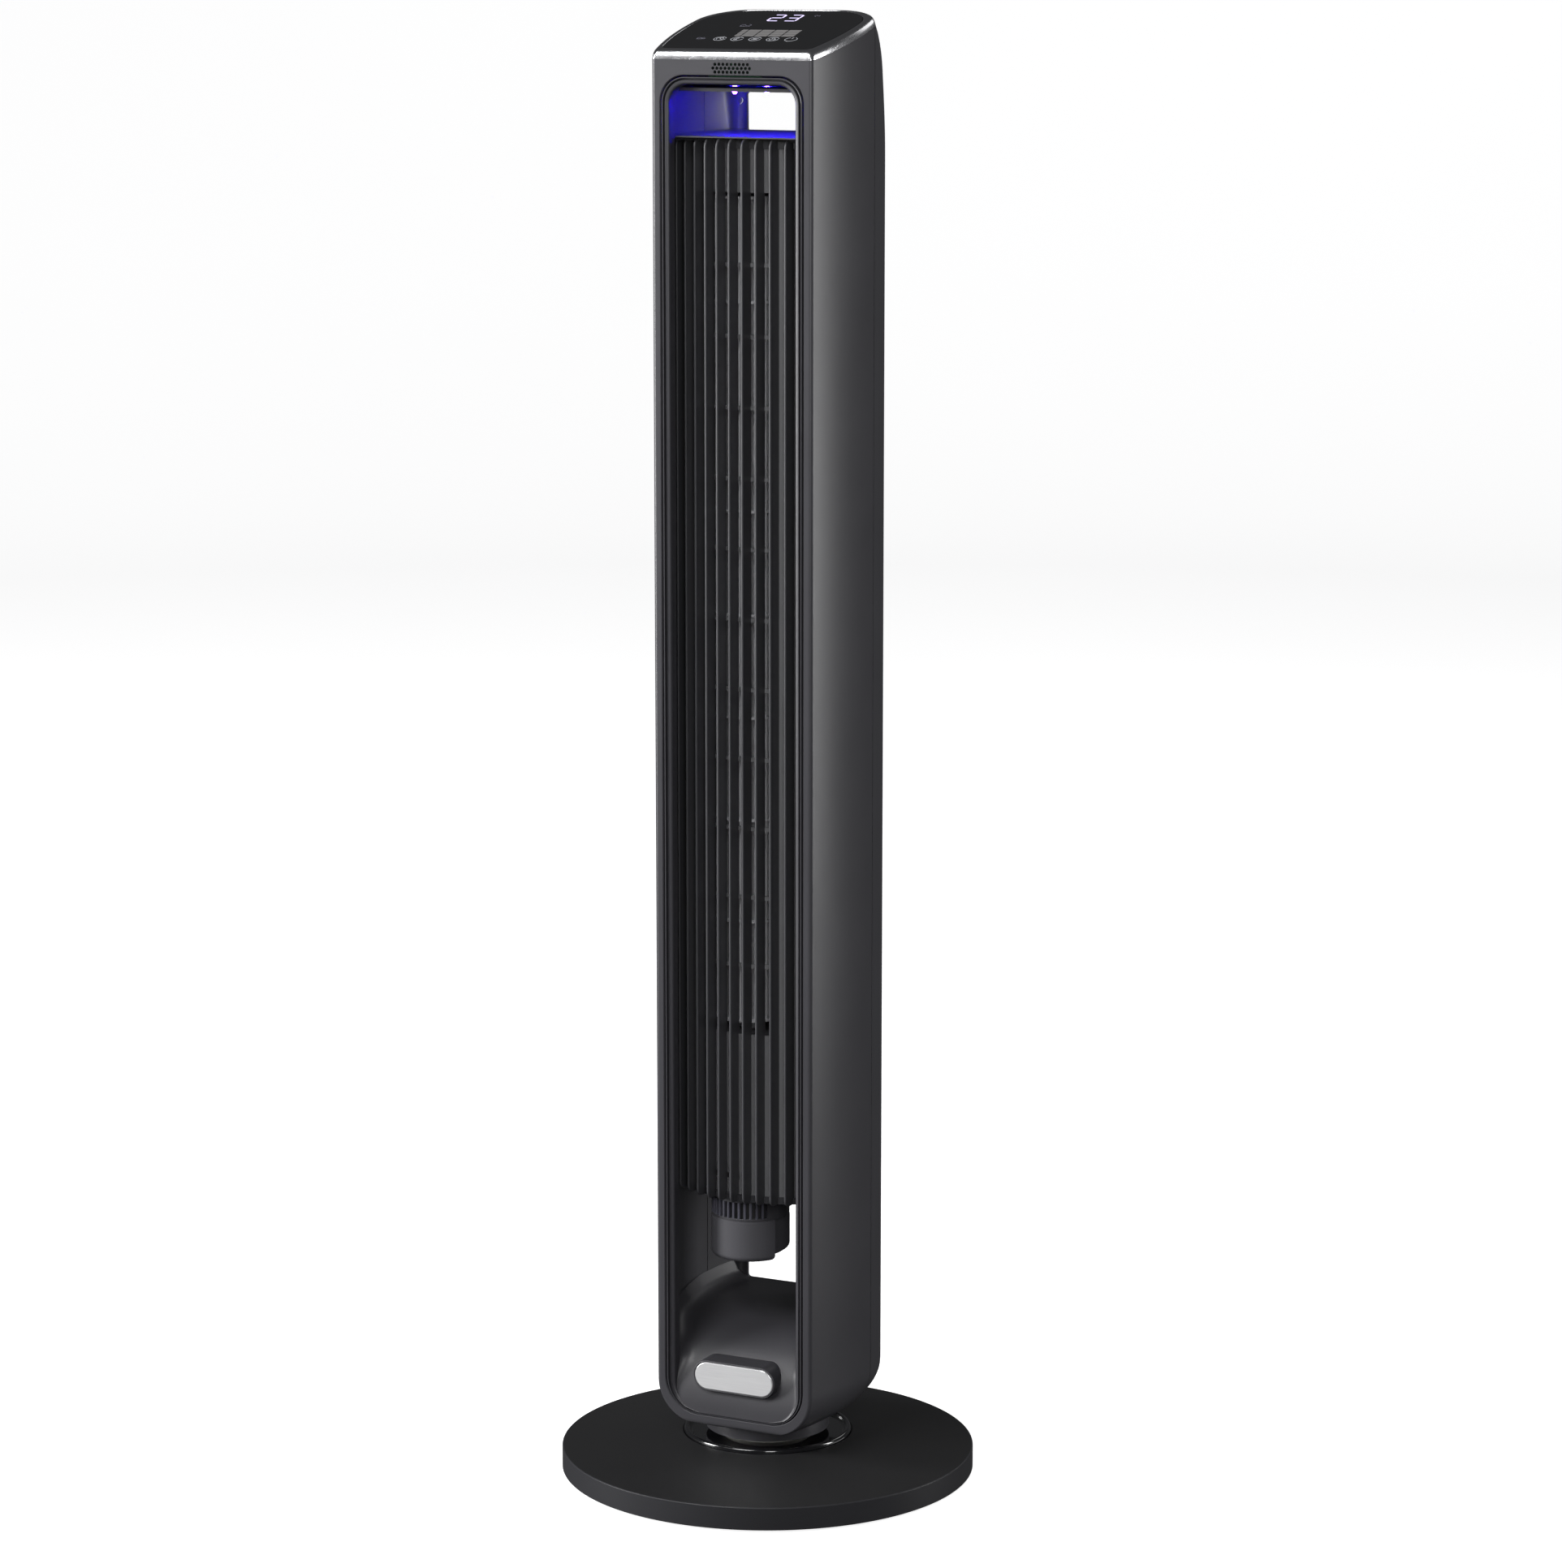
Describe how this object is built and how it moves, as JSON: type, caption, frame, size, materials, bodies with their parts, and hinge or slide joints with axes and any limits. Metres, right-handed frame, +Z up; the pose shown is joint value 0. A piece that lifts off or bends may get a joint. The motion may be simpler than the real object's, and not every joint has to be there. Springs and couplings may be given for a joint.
{
  "type": "tower fan",
  "caption": "Swinging tower fan on a round weighted base, with a cross-flow blower behind a finned column, windows above and below it, and a sloping touch panel.",
  "frame": {"origin": "middle of the base's footprint, on the floor plane under the rubber feet", "axes": "+Z up along the swing axis, -Y out of the air outlet at rest, +X to the right of someone facing -Y from behind, so to the viewer's right when facing the outlet"},
  "size_m": [0.3, 0.3, 1.0512],
  "materials": {
    "shell_plastic": "fine satin moulded grain",
    "base_plastic": "matte black moulded grain",
    "gloss_black": "polished black",
    "column_plastic": "fine matte moulded grain",
    "fin_plastic": "satin moulded grain",
    "impeller_plastic": "satin, glass filled",
    "pale_acetal": "smooth acetal",
    "black_rubber": "matte",
    "chrome_trim": "bright plated",
    "black_glass": "gloss, printed black behind",
    "satin_metal": "satin face, polished edge",
    "bright_steel": "ground",
    "screw_steel": "zinc plated",
    "plate_steel": "black powder coat",
    "ballast_iron": "as cast",
    "lamination_steel": "stacked sheet",
    "copper_winding": "enamelled copper wire",
    "sintered_bronze": "sintered",
    "cast_alloy": "die cast",
    "circuit_board": "green solder mask",
    "dark_component": "moulded component",
    "led_lens": "clear lens, lit blue white",
    "filter_foam": "open mesh"
  },
  "bodies": {
    "base": {"base_cover": "base_plastic", "base_plate": "plate_steel", "base_weight": "ballast_iron", "base_feet": "black_rubber", "base_screws": "screw_steel", "collar_ring": "gloss_black", "glide_ring": "pale_acetal", "pivot_post": "bright_steel", "post_screws": "screw_steel", "swing_gear": "pale_acetal", "thrust_washer": "bright_steel", "post_nut": "screw_steel"},
    "tower": {"foot_disc": "base_plastic", "foot_bushing": "pale_acetal", "foot_screws": "screw_steel", "front_housing": "shell_plastic", "rear_cover": "shell_plastic", "rear_screws": "screw_steel", "intake_grille": "shell_plastic", "filter_mesh": "filter_foam", "opening_frame": "shell_plastic", "lower_ramp": "shell_plastic", "nameplate": "satin_metal", "air_column": "column_plastic", "front_fins": "fin_plastic", "outlet_guard": "fin_plastic", "column_top_plate": "column_plastic", "column_floor": "column_plastic", "scroll_casing": "column_plastic", "bearing_holder": "black_rubber", "top_bushing": "sintered_bronze", "motor_cover": "fin_plastic", "motor_vent_ring": "fin_plastic", "motor_mount": "plate_steel", "motor_stator": "lamination_steel", "motor_coils": "copper_winding", "motor_lower_bell": "cast_alloy", "motor_upper_bell": "cast_alloy", "motor_bearings": "bright_steel", "motor_screws": "screw_steel", "ceiling_panel": "column_plastic", "led_lenses": "led_lens", "led_board": "circuit_board", "sensor_board": "circuit_board", "trim_ring": "chrome_trim", "glass_panel": "black_glass", "control_board": "circuit_board", "display_module": "dark_component", "touch_springs": "bright_steel", "buzzer": "dark_component", "power_board": "circuit_board", "swing_motor": "cast_alloy", "swing_motor_screws": "screw_steel", "cord_inlet": "black_rubber"},
    "rotor": {"impeller": "impeller_plastic", "impeller_pin": "bright_steel", "motor_shaft": "bright_steel", "motor_rotor": "lamination_steel"},
    "pinion": {"swing_pinion": "pale_acetal", "pinion_shaft": "bright_steel"}
  },
  "joints": [
    {"name": "tower_swing", "type": "hinge", "parent": "base", "child": "tower", "pos_m": [0, 0, 0.0385], "axis": [0, 0, 1], "range_deg": [-40, 40]},
    {"name": "impeller_spin", "type": "hinge", "parent": "tower", "child": "rotor", "pos_m": [-0.009, -0.0095, 0.632], "axis": [0, 0, 1], "continuous": true},
    {"name": "pinion_spin", "type": "hinge", "parent": "tower", "child": "pinion", "pos_m": [-0.03025, 0, 0.0531], "axis": [0, 0, 1], "range_deg": [-170, 170]}
  ],
  "couplings": [
    {"joint": "pinion_spin", "follows": "tower_swing", "ratio": 4}
  ]
}
